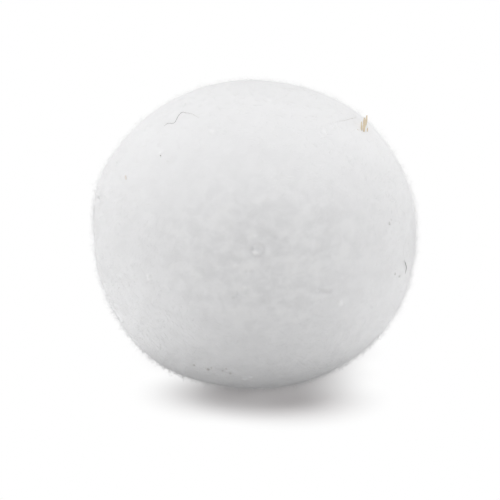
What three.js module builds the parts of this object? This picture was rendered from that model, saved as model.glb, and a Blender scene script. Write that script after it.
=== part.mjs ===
// Felt ball pompom: one solid ball of matted wool, rolled by hand and settled on a small flat spot.
// Millimetres, +Z up. The origin is the centre of the flat spot that the ball rests on.

import * as THREE from 'three';
import { mergeVertices } from 'three/addons/utils/BufferGeometryUtils.js';

// Driving dimensions
const WIDTH = 50; // across the widest girth
const CROWN_RISE = 22.6; // from the widest girth up to the crown
const GIRTH_HEIGHT = 24; // from the flat spot up to the widest girth
const FOOT_DIAMETER = 14; // flat spot that the wool settles on
const FLANK_FULLNESS = 2.2; // power of the lower flank's curve, where 2 is an ellipse and more is fuller
const SETTLED_HEIGHT = 5; // above this the lumps are whole, and below it they fade out to the flat spot

// Lumps and hollows that the rolling leaves in the wool.
// Azimuth is in degrees from +X towards +Y, elevation in degrees above the widest girth.
// Rise is how far the wool stands out, or sinks in where it is negative. Spread is its radius.
const LUMPS = [
  { azimuth: 175, elevation: 16, rise: 0.5, spread: 5 }, // left shoulder
  { azimuth: 183, elevation: -10, rise: -0.15, spread: 6 }, // hollow under the left shoulder
  { azimuth: 205, elevation: -57, rise: 0.6, spread: 6 }, // fuller under the left flank
  { azimuth: 331, elevation: -60, rise: -0.25, spread: 7 }, // flatter under the right flank
  { azimuth: 2, elevation: 8, rise: -0.1, spread: 9 }, // flatter right side
  { azimuth: 7, elevation: 25, rise: -0.3, spread: 6 }, // flatter right shoulder
  { azimuth: 15, elevation: 76, rise: -0.4, spread: 7 }, // flatter to the right of the crown
  { azimuth: 330, elevation: 34, rise: 0.25, spread: 6 },
  { azimuth: 250, elevation: -28, rise: 0.25, spread: 8 },
  { azimuth: 285, elevation: 4, rise: -0.2, spread: 6 },
  { azimuth: 120, elevation: 30, rise: -0.35, spread: 8 },
  { azimuth: 75, elevation: 12, rise: 0.4, spread: 8 },
  { azimuth: 95, elevation: -30, rise: -0.3, spread: 7 },
  { azimuth: 40, elevation: -24, rise: 0.3, spread: 7 },
];

// Facets
const FACETS_AROUND = 84;
const FACETS_CROWN = 20;
const FACETS_FLANK = 18;

const WOOL_WHITE = 0xeeeef0;

// Half of the ball's section as radius and height, from the middle of the flat spot up to the crown.
function sectionProfile() {
  const radius = WIDTH / 2;
  const footShare = FOOT_DIAMETER / WIDTH;
  const fullDepth = GIRTH_HEIGHT / (1 - footShare ** FLANK_FULLNESS) ** (1 / FLANK_FULLNESS);
  const footAngle = Math.acos(footShare ** (FLANK_FULLNESS / 2));
  const points = [new THREE.Vector2(0, 0)];

  // Lower flank: a superellipse, cut off by the flat spot
  for (let i = 0; i < FACETS_FLANK; i += 1) {
    const angle = footAngle * (1 - i / FACETS_FLANK);
    const across = radius * Math.cos(angle) ** (2 / FLANK_FULLNESS);
    const drop = fullDepth * Math.sin(angle) ** (2 / FLANK_FULLNESS);
    points.push(new THREE.Vector2(across, i === 0 ? 0 : GIRTH_HEIGHT - drop));
  }

  // Crown: a quarter of an ellipse that ends on the axis
  for (let i = 0; i < FACETS_CROWN; i += 1) {
    const angle = (Math.PI / 2) * (i / FACETS_CROWN);
    points.push(new THREE.Vector2(radius * Math.cos(angle), GIRTH_HEIGHT + CROWN_RISE * Math.sin(angle)));
  }
  points.push(new THREE.Vector2(0, GIRTH_HEIGHT + CROWN_RISE));
  return points;
}

// Unit vector from the ball's middle at a lump's azimuth and elevation.
function directionOf({ azimuth, elevation }) {
  const polar = THREE.MathUtils.degToRad(90 - elevation);
  const turn = THREE.MathUtils.degToRad(azimuth);
  return new THREE.Vector3(
    Math.sin(polar) * Math.cos(turn),
    Math.sin(polar) * Math.sin(turn),
    Math.cos(polar),
  );
}

// How far the lumps move the surface that lies in the given direction from the ball's middle.
function lumpRise(direction) {
  const radius = WIDTH / 2;
  return LUMPS.reduce((sum, lump) => {
    const distance = radius * direction.angleTo(directionOf(lump));
    return sum + lump.rise * Math.exp(-((distance / lump.spread) ** 2));
  }, 0);
}

// The revolved ball with its lumps, which leave the flat spot flat.
function feltBallGeometry() {
  const revolved = new THREE.LatheGeometry(sectionProfile(), FACETS_AROUND).rotateX(Math.PI / 2);
  revolved.deleteAttribute('normal');
  revolved.deleteAttribute('uv');
  const geometry = mergeVertices(revolved, 1e-3);
  const middle = new THREE.Vector3(0, 0, GIRTH_HEIGHT);
  const positions = geometry.getAttribute('position');
  const point = new THREE.Vector3();

  for (let i = 0; i < positions.count; i += 1) {
    point.fromBufferAttribute(positions, i);
    const settled = THREE.MathUtils.smoothstep(point.z, 0, SETTLED_HEIGHT);
    const direction = point.clone().sub(middle).normalize();
    point.addScaledVector(direction, settled * lumpRise(direction));
    positions.setXYZ(i, point.x, point.y, point.z);
  }
  geometry.computeVertexNormals();
  return geometry;
}

const wool = new THREE.MeshStandardMaterial({ color: WOOL_WHITE, roughness: 1, metalness: 0 });

const feltBall = new THREE.Mesh(feltBallGeometry(), wool);
feltBall.name = 'felt_ball';

const pompom = new THREE.Group();
pompom.add(feltBall);

export default pompom;
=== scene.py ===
import math
import random

import bmesh
import bpy
from mathutils import Matrix, Vector, noise
from mathutils.bvhtree import BVHTree
from mathutils.geometry import interpolate_bezier
from mathutils.kdtree import KDTree


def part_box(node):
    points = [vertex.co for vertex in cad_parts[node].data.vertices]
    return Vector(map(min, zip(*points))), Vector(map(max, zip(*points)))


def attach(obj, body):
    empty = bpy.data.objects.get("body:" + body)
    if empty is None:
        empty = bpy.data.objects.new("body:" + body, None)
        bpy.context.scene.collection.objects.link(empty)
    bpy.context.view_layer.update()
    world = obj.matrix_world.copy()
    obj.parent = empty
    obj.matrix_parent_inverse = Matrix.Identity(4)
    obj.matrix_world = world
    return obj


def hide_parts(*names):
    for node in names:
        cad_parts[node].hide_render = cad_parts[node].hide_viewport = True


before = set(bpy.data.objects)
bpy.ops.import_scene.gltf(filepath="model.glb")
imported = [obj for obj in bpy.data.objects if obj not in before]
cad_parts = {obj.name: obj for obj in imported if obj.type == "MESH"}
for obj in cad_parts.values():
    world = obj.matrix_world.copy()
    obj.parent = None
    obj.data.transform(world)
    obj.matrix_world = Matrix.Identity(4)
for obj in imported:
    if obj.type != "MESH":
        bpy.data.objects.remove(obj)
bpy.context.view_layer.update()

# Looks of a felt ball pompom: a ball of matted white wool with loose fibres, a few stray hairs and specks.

NODE = "felt_ball"
BODY = "root"
MM = 0.001

# The ball's middle, half-way up the CAD solid
MIDDLE = sum(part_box(NODE), Vector()) / 2

# The photograph's frame and viewing angle
FRAME_PIXELS = 500
PIXELS_PER_METRE = 6458
MIDDLE_PIXEL = Vector((254.6, 230.8))
CAMERA_ELEVATION = math.radians(15)
CAMERA_DISTANCE = 0.55
SENSOR_WIDTH = 36

# Felt mesh: how the CAD form's facets are rounded, and how the ball is split and smoothed
WELD_DISTANCE = 0.001 * MM
ROUNDING_LEVELS = 2
FELT_START = 3
FELT_SPLITS = 21
SMOOTHING_ROUNDS = 4
SMOOTHING_SHARE = 0.5

# Relief of the matted wool, with each fractal noise as its roughness, lacunarity and octaves
SWELL_SIZE = 7 * MM
SWELL_HEIGHT = 0.07 * MM
SWELL_NOISE = (1.0, 2.0, 2)
TUFT_SIZE = 1.9 * MM
TUFT_HEIGHT = 0.03 * MM
TUFT_NOISE = (0.9, 2.0, 3)
CURL_SIZE = 0.7 * MM
CURL_HEIGHT = 0.008 * MM
CURL_OCTAVES = 2
SETTLED_HEIGHT = 3 * MM

# Heights between which the wool calms down towards the crown, and the share of its unevenness left there
CALM_START = 26 * MM
CALM_END = 40 * MM
CALM_SHARE = 0.3

# Tone of the felt: its two colours, and a mottle that is whole at a place in front and weaker elsewhere
FELT_DIM = (0.64, 0.64, 0.645)
FELT_PALE = (0.972, 0.972, 0.98)
FELT_TONE = 0.75
MOTTLE_TONE = 0.3
MOTTLE_RANGE = (0.7, 1.3)
FINE_MOTTLE = {"size": 1.7 * MM, "detail": 4.0, "distortion": 0.6}
BROAD_MOTTLE = {"size": 4 * MM, "detail": 2.0, "distortion": 0.6, "stretch": (1, 1, 1.6)}
MOTTLE_MIDDLE = Vector((1, -23.5, 28)) * MM
MOTTLE_REACH = (6 * MM, 19 * MM)
MOTTLE_SHARE = 0.35

# Surface of the felt: its tangled grain, and how deep light scatters in it
FELT_GRAIN = {"size": 0.16 * MM, "detail": 2.0, "distortion": 1.2}
GRAIN_DEPTH = 0.015 * MM
FELT_ROUGHNESS = 0.85
GRAIN_ROUGHNESS = 0.15
SCATTER_DEPTH = 0.5 * MM

# Marks in the felt: photo pixel, then radius of a ring or 0, width and rise in millimetres
MARKS = {
    "brow_left": ((222, 210), 0, 4.0, 0.2),
    "brow_middle": ((257, 206), 0, 4.0, 0.25),
    "brow_right": ((294, 209), 0, 4.0, 0.2),
    "nub": ((257.3, 250.2), 0, 0.75, 0.03),
    "nub_rim": ((257.3, 250.2), 1.0, 0.24, -0.06),
    "nub_pit": ((252.6, 249.4), 0, 0.27, -0.15),
    "nub_knob": ((255.6, 253), 0, 0.32, 0.12),
    "nub_brow": ((257.2, 247.8), 0, 0.5, -0.08),
    "bright_tuft": ((305, 242), 0, 1.9, 0.14),
    "comma_head": ((233.6, 297.9), 0, 0.26, -0.09),
    "comma_neck": ((236.4, 297), 0, 0.22, -0.08),
    "comma_tail": ((238, 294.8), 0, 0.22, -0.1),
    "comma_tip": ((237.8, 292), 0, 0.22, -0.06),
    "slot_tuft": ((317, 289.8), 0, 0.25, 0.08),
    "slot_left": ((320.5, 291.2), 0, 0.34, -0.06),
    "slot_middle": ((324, 291.6), 0, 0.34, -0.1),
    "slot_right": ((327.5, 291.8), 0, 0.34, -0.1),
    "slot_end": ((330.5, 291.4), 0, 0.3, -0.08),
    "small_pit_left": ((235.6, 270), 0, 0.4, -0.06),
    "small_pit_right": ((275, 237), 0, 0.5, -0.06),
    "small_pit_low": ((260.5, 300), 0, 0.7, -0.05),
    "small_streak_left": ((246.5, 271), 0, 0.3, -0.07),
    "small_streak_right": ((251.5, 271.4), 0, 0.3, -0.07),
    "small_tuft": ((268.5, 251.6), 0, 0.6, 0.12),
    "small_tuft_high": ((255, 235.6), 0, 0.4, 0.07),
    "small_tuft_left": ((235.8, 265.7), 0, 0.35, 0.1),
    "small_tuft_low": ((245.3, 287.9), 0, 0.35, 0.1),
    "crown_tuft": ((268, 100.5), 0, 0.5, 0.06),
    "high_tuft_left": ((211.2, 132), 0, 0.4, 0.06),
    "high_tuft_right": ((323.7, 132), 0, 0.4, 0.05),
    "lint_top": ((161.6, 152.6), 0, 0.3, 0.1),
    "lint_left": ((149.6, 277.6), 0, 0.42, 0.14),
    "lint_right": ((341.2, 303.2), 0, 0.42, 0.14),
    "lint_small": ((168, 288), 0, 0.25, 0.08),
    "low_tuft_left": ((208.8, 373.6), 0, 0.3, 0.06),
    "low_tuft_middle": ((227, 371), 0, 0.25, 0.06),
    "low_tuft_right": ((245, 379), 0, 0.4, 0.2),
    "low_tuft_end": ((251, 377), 0, 0.3, 0.2),
    "low_smudge_left": ((209, 369.4), 0, 0.45, -0.1),
    "low_smudge_middle": ((222.4, 370.8), 0, 0.6, -0.08),
    "low_smudge_right": ((229.8, 373), 0, 0.4, -0.1),
}

# How deep a narrow mark digs for full painted shade in the felt's colour, and rises for full painted light,
# and how finely the mesh is split round narrow marks
MARK_DEPTH = 0.45 * MM
MARK_SHADE_LAYER = "mark_shade_and_tint"
FINE_WIDTH = 1 * MM
FINE_REACH = 1.3 * MM
FINE_CUTS = 3

# Loose wool: matted fibres lie in the surface, and fuzz stands off it
MATTED_COUNT = 3000
MATTED_LENGTH = 3.6 * MM
MATTED_THICKNESS = 0.014 * MM
MATTED_LIFT = 0.025 * MM
MATTED_SPAN = (0.6, 1.4)
MATTED_WAVE = 7
MATTED_CURL = 0.45
MATTED_STEPS = 6
MATTED_SEED = 1
FUZZ_PIECES = 3
FUZZ_COUNT = 11000
FUZZ_LENGTH = 0.9 * MM
FUZZ_THICKNESS = 0.018 * MM
FUZZ_RISES = (0.15 * MM, 0.24 * MM, 0.32 * MM, 0.42 * MM, 0.55 * MM, 0.8 * MM)
FUZZ_SUNK = 0.02 * MM
FUZZ_SPAN = (0.6, 1.3)
RISE_SPAN = (0.6, 1.2)
FUZZ_CURL = 0.5
FUZZ_STEPS = 2
FUZZ_SEED = 100

# Half a wave makes a loop that comes back down, and a quarter makes an end that stands up
FUZZ_WAVES = (math.pi, math.pi / 2)

# Every fibre: its section and taper, how its bends run on, and its mottled tone
STRAND_SIDES = 3
TIP_THICKNESS = 0.45
BELLY_THICKNESS = 0.75
BEND_KEPT = 0.6
BEND_GAINED = 0.8
FIBRE_MOTTLE = {"size": 1.7 * MM, "detail": 2.0, "distortion": 0.6}
FIBRE_RANGE = (0.32, 0.68)
FIBRE_DIM = (0.92, 0.92, 0.924)
FIBRE_PALE = (0.97, 0.97, 0.973)

# Stray hairs on the felt: thickness in millimetres and photo pixels along each
HAIRS = {
    "curly_hair": (0.05, [
        (164.2, 126.3), (168.2, 123.6), (174.5, 123.1), (178, 116.9), (182, 112.6), (186.5, 113.1),
        (191.5, 113.8),
    ]),
    "rim_hair": (0.09, [(403.9, 260.5), (405.2, 264.4), (405.7, 267.8), (404.7, 273.4)]),
}
PALE_HAIRS = {
    "curly_end": (0.05, [(189.5, 113.5), (192.3, 114), (195.4, 116), (199.2, 118)]),
    "faint_hair": (0.05, [(339, 121.4), (344, 120.8), (352, 118.6), (356, 117.6)]),
}
HAIR_STEPS = 4
HAIR_HANDLE = 1 / 6
HAIR_MOTTLE = {"size": 0.8 * MM, "detail": 2.0}
HAIR_COLOURS = ((0.14, 0.135, 0.13), (0.34, 0.33, 0.32))
PALE_HAIR_COLOURS = ((0.6, 0.59, 0.57), (0.72, 0.71, 0.69))

# Straw flecks: photo pixels of the tip and the foot, and width in millimetres
STRAW_FLECKS = {
    "straw_fleck": ((364.3, 117.6), (363.9, 131.8), 0.5),
    "straw_husk": ((366.8, 115.2), (366, 125.6), 0.3),
    "straw_splinter": ((367.4, 127.8), (367.2, 131.6), 0.2),
    "straw_chip": ((361.4, 121.6), (361.6, 130.8), 0.24),
}
STRAW_THICKNESS = 0.12 * MM
STRAW_BEVEL = STRAW_THICKNESS / 4
STRAW_LEAN = 0.6
STRAW_CUTS = 8
STRAW_TAPER = 2.2
STRAW_BEND = 0.25
STRAW_BENDS = 3
STRAW_STREAK = {"size": 0.12 * MM, "detail": 3.0, "stretch": (1, 1, 0.15)}
STRAW_COLOURS = ((0.6, 0.49, 0.33), (0.8, 0.7, 0.54))
STRAW_ROUGHNESS = 0.45
STREAK_ROUGHNESS = 0.2

# Specks: dark and pale colour, then the photo pixel and radius in millimetres of each
SPECKS = {
    "dark_specks": ((0.28, 0.27, 0.26), (0.44, 0.43, 0.42), [((160.6, 155.6), 0.12)]),
    "grey_specks": ((0.76, 0.76, 0.75), (0.86, 0.86, 0.85), [
        ((389.6, 223.4), 0.27), ((391.3, 219.8), 0.12), ((352.2, 118.4), 0.12), ((395, 273.9), 0.21),
        ((399.3, 276.4), 0.21), ((367.2, 127), 0.13),
    ]),
    "tan_specks": ((0.82, 0.75, 0.68), (0.9, 0.84, 0.78), [
        ((125.6, 176.4), 0.19), ((126, 178.6), 0.19), ((358, 129.9), 0.12),
    ]),
    "brown_specks": ((0.61, 0.58, 0.56), (0.74, 0.71, 0.69), [
        ((208, 369.4), 0.24), ((211.2, 367.8), 0.14), ((194, 365), 0.17), ((230.4, 373.6), 0.2),
        ((226.2, 368.8), 0.14), ((222.4, 370.8), 0.12),
    ]),
}
SPECK_SPLITS = 2
SPECK_SUNK = 0.65
SPECK_LUMP_HEIGHT = 0.5
SPECK_LUMP_SIZE = 0.8
GRIT_MOTTLE = {"size": 0.08 * MM, "detail": 2.0}

# Light: softboxes by place, size and level, and the glow of the room's sides up to a low height
SOFTBOXES = {
    "overhead_panel": ((0, 0, 0.65), (0.8, 0.8), 2.12),
    "front_panel": ((0, -0.7, 0.35), (0.7, 0.4), 2.3),
    "back_panel": ((0, 0.7, 0.3), (0.7, 0.4), 0.65),
}
SIDE_GLOW = 2.7
SIDE_LEAN = 0.04
BACK_LEAN = 0.5
GLOW_FULL = math.sin(math.radians(-1))
GLOW_TOP = math.sin(math.radians(9))

# Floor: a card under the ball that glows a little, and how white it is to the light and to the camera
FLOOR_HALF = Vector((30, 300, 1)) * MM
FLOOR_WHITE = 0.43
FLOOR_SEEN = (0.55, 0.52, 0.52)
FLOOR_GLOW = 0.165

# Round patches of floor that keep the shadow: whole at each middle, and gone at the end of the reach
SHADOW_MIDDLES = [
    Vector((-3.2, -10.3, 0)) * MM, Vector((5.2, -13.3, 0)) * MM, Vector((4, 0, 0)) * MM,
    Vector((-3.2, 10.3, 0)) * MM, Vector((5.2, 13.3, 0)) * MM,
]
SHADOW_REACH = (0, 16.3 * MM)


# Objects

def linked(name, data):
    """A new object of the scene with this data."""
    made = bpy.data.objects.new(name, data)
    bpy.context.scene.collection.objects.link(made)
    return made


def mesh_from(name, bm):
    """A mesh made from a bmesh, which is freed."""
    mesh = bpy.data.meshes.new(name)
    bm.to_mesh(mesh)
    bm.free()
    return mesh


def object_from(name, bm, material):
    """A mesh object at the origin, made from a bmesh, that rides on the ball's body."""
    piece = linked(name, mesh_from(name, bm))
    piece.data.materials.append(material)
    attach(piece, BODY)
    return piece


# Camera

def add_camera():
    """A long lens at the photograph's height, moved sideways until the ball's middle falls on its pixel."""
    data = bpy.data.cameras.new("camera")
    data.sensor_width = SENSOR_WIDTH
    data.lens = SENSOR_WIDTH * CAMERA_DISTANCE * PIXELS_PER_METRE / FRAME_PIXELS
    camera = linked("camera", data)
    bpy.context.scene.camera = camera
    turn = Matrix.Rotation(math.pi / 2 - CAMERA_ELEVATION, 4, "X")
    aside = (MIDDLE_PIXEL - Vector((FRAME_PIXELS, FRAME_PIXELS)) / 2) / PIXELS_PER_METRE
    camera.matrix_world = Matrix.Translation(MIDDLE) @ turn @ Matrix.Translation(
        (-aside.x, aside.y, CAMERA_DISTANCE)
    )
    return camera


def sight(camera, pixel):
    """Line of sight through a pixel of the photograph, one metre deep along the camera's axis."""
    share = SENSOR_WIDTH / camera.data.lens / FRAME_PIXELS
    half = FRAME_PIXELS / 2
    return camera.matrix_world.to_3x3() @ Vector(((pixel[0] - half) * share, (half - pixel[1]) * share, -1))


def seat(camera, surface, pixel):
    """Point and normal of a surface where the photograph shows it at a pixel."""
    return surface.ray_cast(camera.matrix_world.translation, sight(camera, pixel).normalized())[:2]


# Materials

class Value:
    """A shader socket that takes part in arithmetic: each operator adds a Math node."""

    def __init__(self, finish, socket):
        self.finish = finish
        self.socket = socket

    def math(self, operation, first, second):
        return self.finish.node("ShaderNodeMath", {"operation": operation}, {0: first, 1: second})

    def __add__(self, other):
        return self.math("ADD", self, other)

    def __sub__(self, other):
        return self.math("SUBTRACT", self, other)

    def __rsub__(self, other):
        return self.math("SUBTRACT", other, self)

    def __mul__(self, other):
        return self.math("MULTIPLY", self, other)

    __radd__ = __add__
    __rmul__ = __mul__


class Finish:
    """The shader nodes of a material or of the world, with one method that adds a node."""

    def __init__(self, owner):
        self.owner = owner
        self.owner.use_nodes = True
        self.tree = owner.node_tree
        self.tree.nodes.clear()

    def node(self, kind, settings=None, inputs=None, output=0):
        made = self.tree.nodes.new(kind)
        for name, value in (settings or {}).items():
            setattr(made, name, value)
        for name, value in (inputs or {}).items():
            if isinstance(value, Value):
                self.tree.links.new(value.socket, made.inputs[name])
            else:
                made.inputs[name].default_value = value
        return Value(self, made.outputs[output]) if made.outputs else None

    def coordinates(self, kind="Object"):
        return self.node("ShaderNodeTexCoord", output=kind)

    def vector(self, operation, first, second=(0, 0, 0), output="Vector"):
        return self.node("ShaderNodeVectorMath", {"operation": operation}, {0: first, 1: second}, output)

    def noise(self, size, detail=2.0, distortion=0.0, stretch=(1, 1, 1)):
        """Smooth noise from 0 to 1 whose patches are about this size, drawn out where stretch is below 1."""
        inputs = {
            "Vector": self.vector("MULTIPLY", self.coordinates(), stretch),
            "Scale": 1 / size,
            "Detail": detail,
            "Distortion": distortion,
        }
        return self.node("ShaderNodeTexNoise", None, inputs)

    def ramp(self, value, start, end, low, high):
        """A number that goes smoothly from low to high while the value goes from start to end."""
        settings = {"interpolation_type": "SMOOTHSTEP"}
        inputs = {"Value": value, "From Min": start, "From Max": end, "To Min": low, "To Max": high}
        return self.node("ShaderNodeMapRange", settings, inputs)

    def blend(self, factor, low, high):
        """A colour that goes from low to high with the factor."""
        inputs = {"Factor": factor, 6: (*low, 1), 7: (*high, 1)}
        return self.node("ShaderNodeMix", {"data_type": "RGBA"}, inputs, 2)

    def bump(self, height, depth):
        """A normal from a height that runs from 0 to 1 over this depth."""
        return self.node("ShaderNodeBump", None, {"Height": height, "Distance": depth})

    def seen(self):
        """1 for what the camera sees, straight or in a reflection, and 0 for what lights other things."""
        path = self.node("ShaderNodeLightPath", output="Is Camera Ray")
        rays = path.socket.node.outputs
        mirrored = Value(self, rays["Is Glossy Ray"]) + Value(self, rays["Is Transmission Ray"])
        return self.ramp(path + mirrored, 0, 1, 0, 1)

    def principled(self, inputs):
        return self.finished(self.node("ShaderNodeBsdfPrincipled", None, inputs))

    def finished(self, shader, output="ShaderNodeOutputMaterial"):
        self.node(output, None, {"Surface": shader})
        return self.owner


def wool_felt():
    """Matted wool: a mottle that is fainter towards the crown, marks with painted shade in their pits and
    painted light on their tufts beside the real tone of lint and smudges, and a tangled grain.
    """
    finish = Finish(bpy.data.materials.new("wool_felt"))
    height = finish.node("ShaderNodeSeparateXYZ", None, {0: finish.coordinates()}, "Z")
    mottle = finish.noise(**FINE_MOTTLE) + finish.noise(**BROAD_MOTTLE)
    tufts = finish.ramp(mottle, *MOTTLE_RANGE, -0.5, 0.5)
    # The mottle is whole at a place in front and weaker away from it
    distance = finish.vector("DISTANCE", finish.coordinates(), MOTTLE_MIDDLE, "Value")
    front_share = finish.ramp(distance, *MOTTLE_REACH, 1, MOTTLE_SHARE)
    strength = finish.ramp(height, CALM_START, CALM_END, 1, CALM_SHARE) * front_share
    mark_shade_and_tint = finish.node("ShaderNodeAttribute", {"attribute_name": MARK_SHADE_LAYER}, output="Fac")
    grain = finish.noise(**FELT_GRAIN)
    # Narrow marks paint shade into the colour where they dig in and light where they rise, along with the
    # real pale tone of lint and dark tone of smudges
    tone = FELT_TONE + tufts * strength * MOTTLE_TONE + mark_shade_and_tint
    return finish.principled({
        "Base Color": finish.blend(tone, FELT_DIM, FELT_PALE),
        "Roughness": FELT_ROUGHNESS + grain * GRAIN_ROUGHNESS,
        "Normal": finish.bump(grain, GRAIN_DEPTH),
        "Specular IOR Level": 0,
        "Subsurface Weight": 0.8,
        "Subsurface Scale": SCATTER_DEPTH,
        "Subsurface Radius": (1, 1, 1),
    })


def wool_fibre():
    """Single wool fibres, a little uneven in tone from tuft to tuft."""
    finish = Finish(bpy.data.materials.new("wool_fibre"))
    tone = finish.ramp(finish.noise(**FIBRE_MOTTLE), *FIBRE_RANGE, 0, 1)
    colour = finish.blend(tone, FIBRE_DIM, FIBRE_PALE)
    return finish.principled({"Base Color": colour, "Roughness": 0.7, "Specular IOR Level": 0})


def hair(name, low, high):
    """A coarse stray hair with lighter and darker lengths."""
    finish = Finish(bpy.data.materials.new(name))
    tone = finish.noise(**HAIR_MOTTLE)
    return finish.principled({"Base Color": finish.blend(tone, low, high), "Roughness": 0.5})


def straw():
    """Dry straw with fine streaks along its upright length."""
    finish = Finish(bpy.data.materials.new("straw"))
    streak = finish.noise(**STRAW_STREAK)
    return finish.principled({
        "Base Color": finish.blend(streak, *STRAW_COLOURS),
        "Roughness": STRAW_ROUGHNESS + streak * STREAK_ROUGHNESS,
    })


def grit(name, low, high):
    """Specks with an uneven, matt surface."""
    finish = Finish(bpy.data.materials.new(name))
    tone = finish.noise(**GRIT_MOTTLE)
    return finish.principled({"Base Color": finish.blend(tone, low, high), "Roughness": 0.9})


# The felt ball

def smooth_form():
    """The CAD ball with its facets smoothed, as a tree to cast rays at."""
    shell = bmesh.new()
    shell.from_mesh(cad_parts[NODE].data)
    bmesh.ops.remove_doubles(shell, verts=shell.verts, dist=WELD_DISTANCE)
    form = linked("smooth_form", mesh_from("smooth_form", shell))
    rounding = form.modifiers.new("rounding", "SUBSURF")
    rounding.levels = rounding.render_levels = ROUNDING_LEVELS
    bpy.context.view_layer.update()
    tree = BVHTree.FromObject(form, bpy.context.evaluated_depsgraph_get())
    bpy.data.objects.remove(form)
    return tree


def refine(bm, places):
    """Splits the mesh more finely round the given places."""
    tree = KDTree(len(places))
    for index, place in enumerate(places):
        tree.insert(place, index)
    tree.balance()
    near = {vert for vert in bm.verts if tree.find(vert.co)[2] < FINE_REACH}
    edges = [edge for edge in bm.edges if near.issuperset(edge.verts)]
    bmesh.ops.subdivide_edges(bm, edges=edges, cuts=FINE_CUTS, use_grid_fill=True)
    bmesh.ops.triangulate(bm, faces=bm.faces)


def mark_rise(point, mark):
    """Height that a mark adds at a point: a dome or pit, or a ring round its place."""
    place, ring, width, rise = mark
    return rise * math.exp(-(((point - place).length - ring) / width) ** 2)


def calm(point):
    """Share of the wool's unevenness that is left at a point: all of it low down, and less on the crown."""
    height = min(max((point.z - CALM_START) / (CALM_END - CALM_START), 0), 1)
    return 1 + (CALM_SHARE - 1) * height


def felt_relief(point, marks):
    """Height of the matted wool over the smooth form: broad swells, tufts, finer curls and single marks."""
    swell = noise.fractal(point / SWELL_SIZE, *SWELL_NOISE) * SWELL_HEIGHT
    tuft = noise.fractal(point / TUFT_SIZE, *TUFT_NOISE) * TUFT_HEIGHT
    curl = noise.turbulence(point / CURL_SIZE, CURL_OCTAVES, False) * CURL_HEIGHT
    return swell + (tuft + curl) * calm(point) + sum(mark_rise(point, mark) for mark in marks)


def felt_ball(camera, material):
    """The ball itself: an even mesh cast onto the CAD form, with the relief of matted wool."""
    form = smooth_form()
    marks = [
        (seat(camera, form, pixel)[0], ring * MM, width * MM, rise * MM)
        for pixel, ring, width, rise in MARKS.values()
    ]
    bm = bmesh.new()
    bmesh.ops.create_icosphere(bm, subdivisions=FELT_START, radius=1)
    bmesh.ops.subdivide_edges(bm, edges=bm.edges, cuts=FELT_SPLITS, use_grid_fill=True)
    for vert in bm.verts:
        vert.co = form.ray_cast(MIDDLE, vert.co.normalized())[0]
    for _ in range(SMOOTHING_ROUNDS):
        bmesh.ops.smooth_vert(
            bm, verts=bm.verts, factor=SMOOTHING_SHARE, use_axis_x=True, use_axis_y=True, use_axis_z=True
        )
    fine_marks = [mark for mark in marks if mark[2] < FINE_WIDTH]
    refine(bm, [mark[0] for mark in fine_marks])
    bm.normal_update()
    # Painted shade where narrow marks dig in and painted light where they rise, kept for the felt's colour
    mark_shade_and_tint = bm.verts.layers.float.new(MARK_SHADE_LAYER)
    for vert in bm.verts:
        vert[mark_shade_and_tint] = sum(mark_rise(vert.co, mark) for mark in fine_marks) / MARK_DEPTH
        settled = min(1, vert.co.z / SETTLED_HEIGHT)
        vert.co += vert.normal * felt_relief(vert.co, marks) * settled
        vert.co.z = max(vert.co.z, 0)
    ball = object_from("felt_ball_wool", bm, material)
    ball.data.shade_smooth()
    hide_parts(NODE)
    return ball


# Fibres and hairs

def random_direction(rng):
    """An even draw over all directions."""
    height = rng.uniform(-1, 1)
    turn = rng.uniform(0, 2 * math.pi)
    across = math.sqrt(1 - height * height)
    return Vector((across * math.cos(turn), across * math.sin(turn), height))


def fibre_start(rng, felt):
    """Point and normal of the felt where a fibre starts, less often on the crown."""
    while True:
        point, normal = felt.ray_cast(MIDDLE, random_direction(rng))[:2]
        if rng.random() < calm(point):
            return point, normal


def fibre_path(rng, felt, length, steps, curl, height):
    """Points of a fibre that wanders over the felt, at heights that the height function gives."""
    point, normal = fibre_start(rng, felt)
    heading = normal.orthogonal().normalized()
    heading.rotate(Matrix.Rotation(rng.uniform(0, 2 * math.pi), 3, normal))
    stride = length / steps
    path = []
    bend = rng.gauss(0, curl)
    for step in range(steps + 1):
        path.append(point + normal * height(step / steps))
        bend = BEND_KEPT * bend + BEND_GAINED * rng.gauss(0, curl)
        heading.rotate(Matrix.Rotation(bend, 3, normal))
        point, normal = felt.find_nearest(point + heading * stride)[:2]
        heading = (heading - normal * heading.dot(normal)).normalized()
    return path


def strand_section(thickness):
    """A small triangle, the section of every fibre and hair."""
    profile = bpy.data.curves.new("strand_section", "CURVE")
    profile.dimensions = "2D"
    section = profile.splines.new("POLY")
    section.points.add(STRAND_SIDES - 1)
    section.use_cyclic_u = True
    for corner, point in enumerate(section.points):
        angle = corner * 2 * math.pi / STRAND_SIDES
        point.co = (math.cos(angle) * thickness / 2, math.sin(angle) * thickness / 2, 0, 1)
    return bpy.data.objects.new("strand_section", profile)


def strands(name, paths, thickness, material):
    """Thin closed tubes with tapered ends along the paths, as one mesh."""
    section = strand_section(thickness)
    curve = bpy.data.curves.new(name, "CURVE")
    curve.dimensions = "3D"
    curve.bevel_mode = "OBJECT"
    curve.bevel_object = section
    curve.use_fill_caps = True
    for path in paths:
        spline = curve.splines.new("POLY")
        spline.points.add(len(path) - 1)
        for step, point in enumerate(path):
            belly = math.sin(math.pi * step / (len(path) - 1))
            spline.points[step].co = (*point, 1)
            spline.points[step].radius = TIP_THICKNESS + BELLY_THICKNESS * belly
    line = linked(name + "_line", curve)
    bpy.context.view_layer.update()
    bm = bmesh.new()
    bm.from_mesh(line.evaluated_get(bpy.context.evaluated_depsgraph_get()).to_mesh())
    bpy.data.objects.remove(line)
    bpy.data.objects.remove(section)
    bmesh.ops.recalc_face_normals(bm, faces=bm.faces)
    for vert in bm.verts:
        vert.co.z = max(vert.co.z, 0)
    return object_from(name, bm, material)


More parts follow.
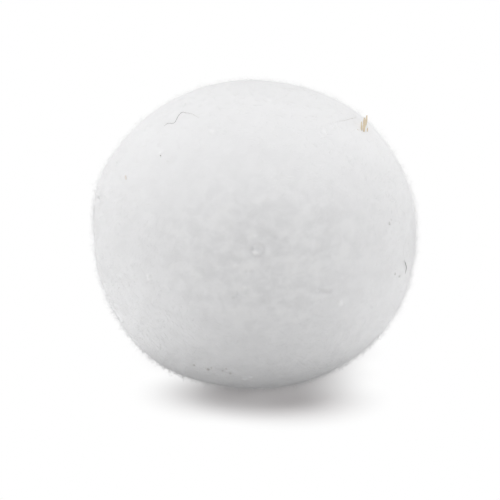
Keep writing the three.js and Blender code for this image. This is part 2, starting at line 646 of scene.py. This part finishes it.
def matted_wool(felt, material):
    """Fibres that run in and out of the felt's surface."""
    rng = random.Random(MATTED_SEED)
    paths = []
    for _ in range(MATTED_COUNT):
        phase = rng.uniform(0, 2 * math.pi)
        lift = rng.uniform(0, MATTED_LIFT)

        def height(share, phase=phase, lift=lift):
            return lift * math.sin(phase + MATTED_WAVE * share)

        length = MATTED_LENGTH * rng.uniform(*MATTED_SPAN)
        paths.append(fibre_path(rng, felt, length, MATTED_STEPS, MATTED_CURL, height))
    strands("matted_wool", paths, MATTED_THICKNESS, material)


def fuzz(felt, material):
    """Short loose ends and loops that stand off the felt."""
    for index in range(FUZZ_PIECES):
        rng = random.Random(FUZZ_SEED + index)
        paths = []
        for _ in range(FUZZ_COUNT):
            top = rng.choice(FUZZ_RISES) * rng.uniform(*RISE_SPAN)
            wave = rng.choice(FUZZ_WAVES)

            def height(share, top=top, wave=wave):
                return top * math.sin(wave * share) - FUZZ_SUNK

            length = FUZZ_LENGTH * rng.uniform(*FUZZ_SPAN)
            paths.append(fibre_path(rng, felt, length, FUZZ_STEPS, FUZZ_CURL, height))
        strands(f"wool_fuzz_{index + 1}", paths, FUZZ_THICKNESS, material)


def smooth_line(points):
    """A line that bends smoothly through all of the points."""
    ends = [points[0], *points, points[-1]]
    line = []
    for before, start, end, after in zip(ends, ends[1:], ends[2:], ends[3:]):
        leaving = start + (end - before) * HAIR_HANDLE
        arriving = end - (after - start) * HAIR_HANDLE
        line += interpolate_bezier(start, leaving, arriving, end, HAIR_STEPS + 1)[:-1]
    return [*line, points[-1]]


def stray_hairs(camera, felt, hairs, material):
    """Hairs that lie on the felt where the photograph shows them."""
    for name, (thickness, pixels) in hairs.items():
        seats = [seat(camera, felt, pixel) for pixel in pixels]
        points = [point + normal * thickness * MM for point, normal in seats]
        strands(name, [smooth_line(points)], thickness * MM, material)


# Flecks and specks

def straw_flecks(camera, felt, material):
    """Slivers of straw whose feet are caught in the felt and whose tips stand a little off it."""
    eye = camera.matrix_world.translation
    for name, (tip_pixel, foot_pixel, width) in STRAW_FLECKS.items():
        foot, normal = seat(camera, felt, foot_pixel)
        to_tip = sight(camera, tip_pixel)
        depth = (foot - eye).length / sight(camera, foot_pixel).length
        upright = eye + to_tip * depth - foot
        along = upright + to_tip.normalized() * upright.length * STRAW_LEAN
        across = along.cross(normal).normalized()
        place = Matrix((across, along.normalized(), across.cross(along).normalized())).transposed().to_4x4()
        place.translation = foot + along / 2
        bm = bmesh.new()
        bmesh.ops.create_cube(bm, size=1)
        long_edges = [edge for edge in bm.edges if edge.verts[0].co.y != edge.verts[1].co.y]
        bmesh.ops.subdivide_edges(bm, edges=long_edges, cuts=STRAW_CUTS, use_grid_fill=True)
        for vert in bm.verts:
            vert.co.x *= 1 - STRAW_TAPER * vert.co.y**2
            vert.co.x += STRAW_BEND * noise.noise(Vector((width, STRAW_BENDS * vert.co.y, 0)))
        size = (width * MM, along.length, STRAW_THICKNESS)
        bmesh.ops.scale(bm, vec=size, verts=bm.verts)
        bmesh.ops.bevel(
            bm, geom=bm.edges, offset=STRAW_BEVEL, affect="EDGES", segments=2, profile=0.5, material=-1
        )
        bmesh.ops.transform(bm, matrix=place, verts=bm.verts)
        object_from(name, bm, material)


def specks(name, camera, felt, places, material):
    """Uneven little grains, more than half sunk in the felt."""
    bm = bmesh.new()
    for pixel, radius in places:
        point, normal = seat(camera, felt, pixel)
        turned = normal.to_track_quat("Z", "Y").to_matrix().to_4x4()
        place = Matrix.Translation(point + normal * radius * MM * (1 - 2 * SPECK_SUNK)) @ turned
        grain = bmesh.ops.create_icosphere(bm, subdivisions=SPECK_SPLITS, radius=radius * MM, matrix=place)
        for vert in grain["verts"]:
            outward = vert.co - place.translation
            lump = noise.noise(vert.co / (SPECK_LUMP_SIZE * radius * MM))
            vert.co += outward * SPECK_LUMP_HEIGHT * lump
    object_from(name, bm, material)


# Floor, light and background

def white_floor():
    """A white floor that takes the ball's shadow and fades into plain white away from it."""
    finish = Finish(bpy.data.materials.new("white_floor"))
    seen = finish.seen()
    colour = finish.blend(seen, (FLOOR_WHITE,) * 3, FLOOR_SEEN)
    lit = finish.node("ShaderNodeBsdfDiffuse", None, {"Color": colour})
    glow = finish.node("ShaderNodeEmission", None, {"Strength": FLOOR_GLOW})
    shaded = finish.node("ShaderNodeAddShader", None, {0: lit, 1: glow})
    plain = finish.node("ShaderNodeEmission", None, {"Strength": 1})
    away = seen
    for middle in SHADOW_MIDDLES:
        distance = finish.vector("DISTANCE", finish.coordinates(), middle, "Value")
        away = away * finish.ramp(distance, *SHADOW_REACH, 0, 1)
    faded = finish.node("ShaderNodeMixShader", None, {0: away, 1: shaded, 2: plain})
    bm = bmesh.new()
    bmesh.ops.create_grid(bm, x_segments=1, y_segments=1, size=1)
    bmesh.ops.scale(bm, vec=FLOOR_HALF, verts=bm.verts)
    floor = linked("floor", mesh_from("floor", bm))
    floor.data.materials.append(finish.finished(faded))


def white_room():
    """A white room whose sides glow, and that is plain white where the camera looks past the floor."""
    world = bpy.data.worlds.new("white_room")
    bpy.context.scene.world = world
    finish = Finish(world)
    way = finish.coordinates("Generated")
    across, back, rise = (finish.node("ShaderNodeSeparateXYZ", None, {0: way}, axis) for axis in "XYZ")
    lean = 1 - across * SIDE_LEAN + back * BACK_LEAN
    level = across * across * lean * finish.ramp(rise, GLOW_FULL, GLOW_TOP, SIDE_GLOW, 0)
    strength = level + (1 - level) * finish.seen()
    background = finish.node("ShaderNodeBackground", None, {"Color": (1, 1, 1, 1), "Strength": strength})
    finish.finished(background, "ShaderNodeOutputWorld")


def softbox(name, place, size, level):
    """A rectangular lamp that faces the ball and has this brightness where white is 1."""
    data = bpy.data.lights.new(name, "AREA")
    data.shape = "RECTANGLE"
    data.size, data.size_y = size
    data.energy = level * math.pi * size[0] * size[1]
    lamp = linked(name, data)
    lamp.location = place
    lamp.rotation_euler = (MIDDLE - Vector(place)).to_track_quat("-Z", "Y").to_euler()


bpy.context.scene.view_settings.view_transform = "Standard"
camera = add_camera()
ball = felt_ball(camera, wool_felt())
felt = BVHTree.FromObject(ball, bpy.context.evaluated_depsgraph_get())
fibre = wool_fibre()
matted_wool(felt, fibre)
fuzz(felt, fibre)
stray_hairs(camera, felt, HAIRS, hair("grey_hair", *HAIR_COLOURS))
stray_hairs(camera, felt, PALE_HAIRS, hair("pale_hair", *PALE_HAIR_COLOURS))
straw_flecks(camera, felt, straw())
for name, (low, high, places) in SPECKS.items():
    specks(name, camera, felt, places, grit(name.replace("specks", "grit"), low, high))
white_floor()
white_room()
for name, (place, size, level) in SOFTBOXES.items():
    softbox(name, place, size, level)
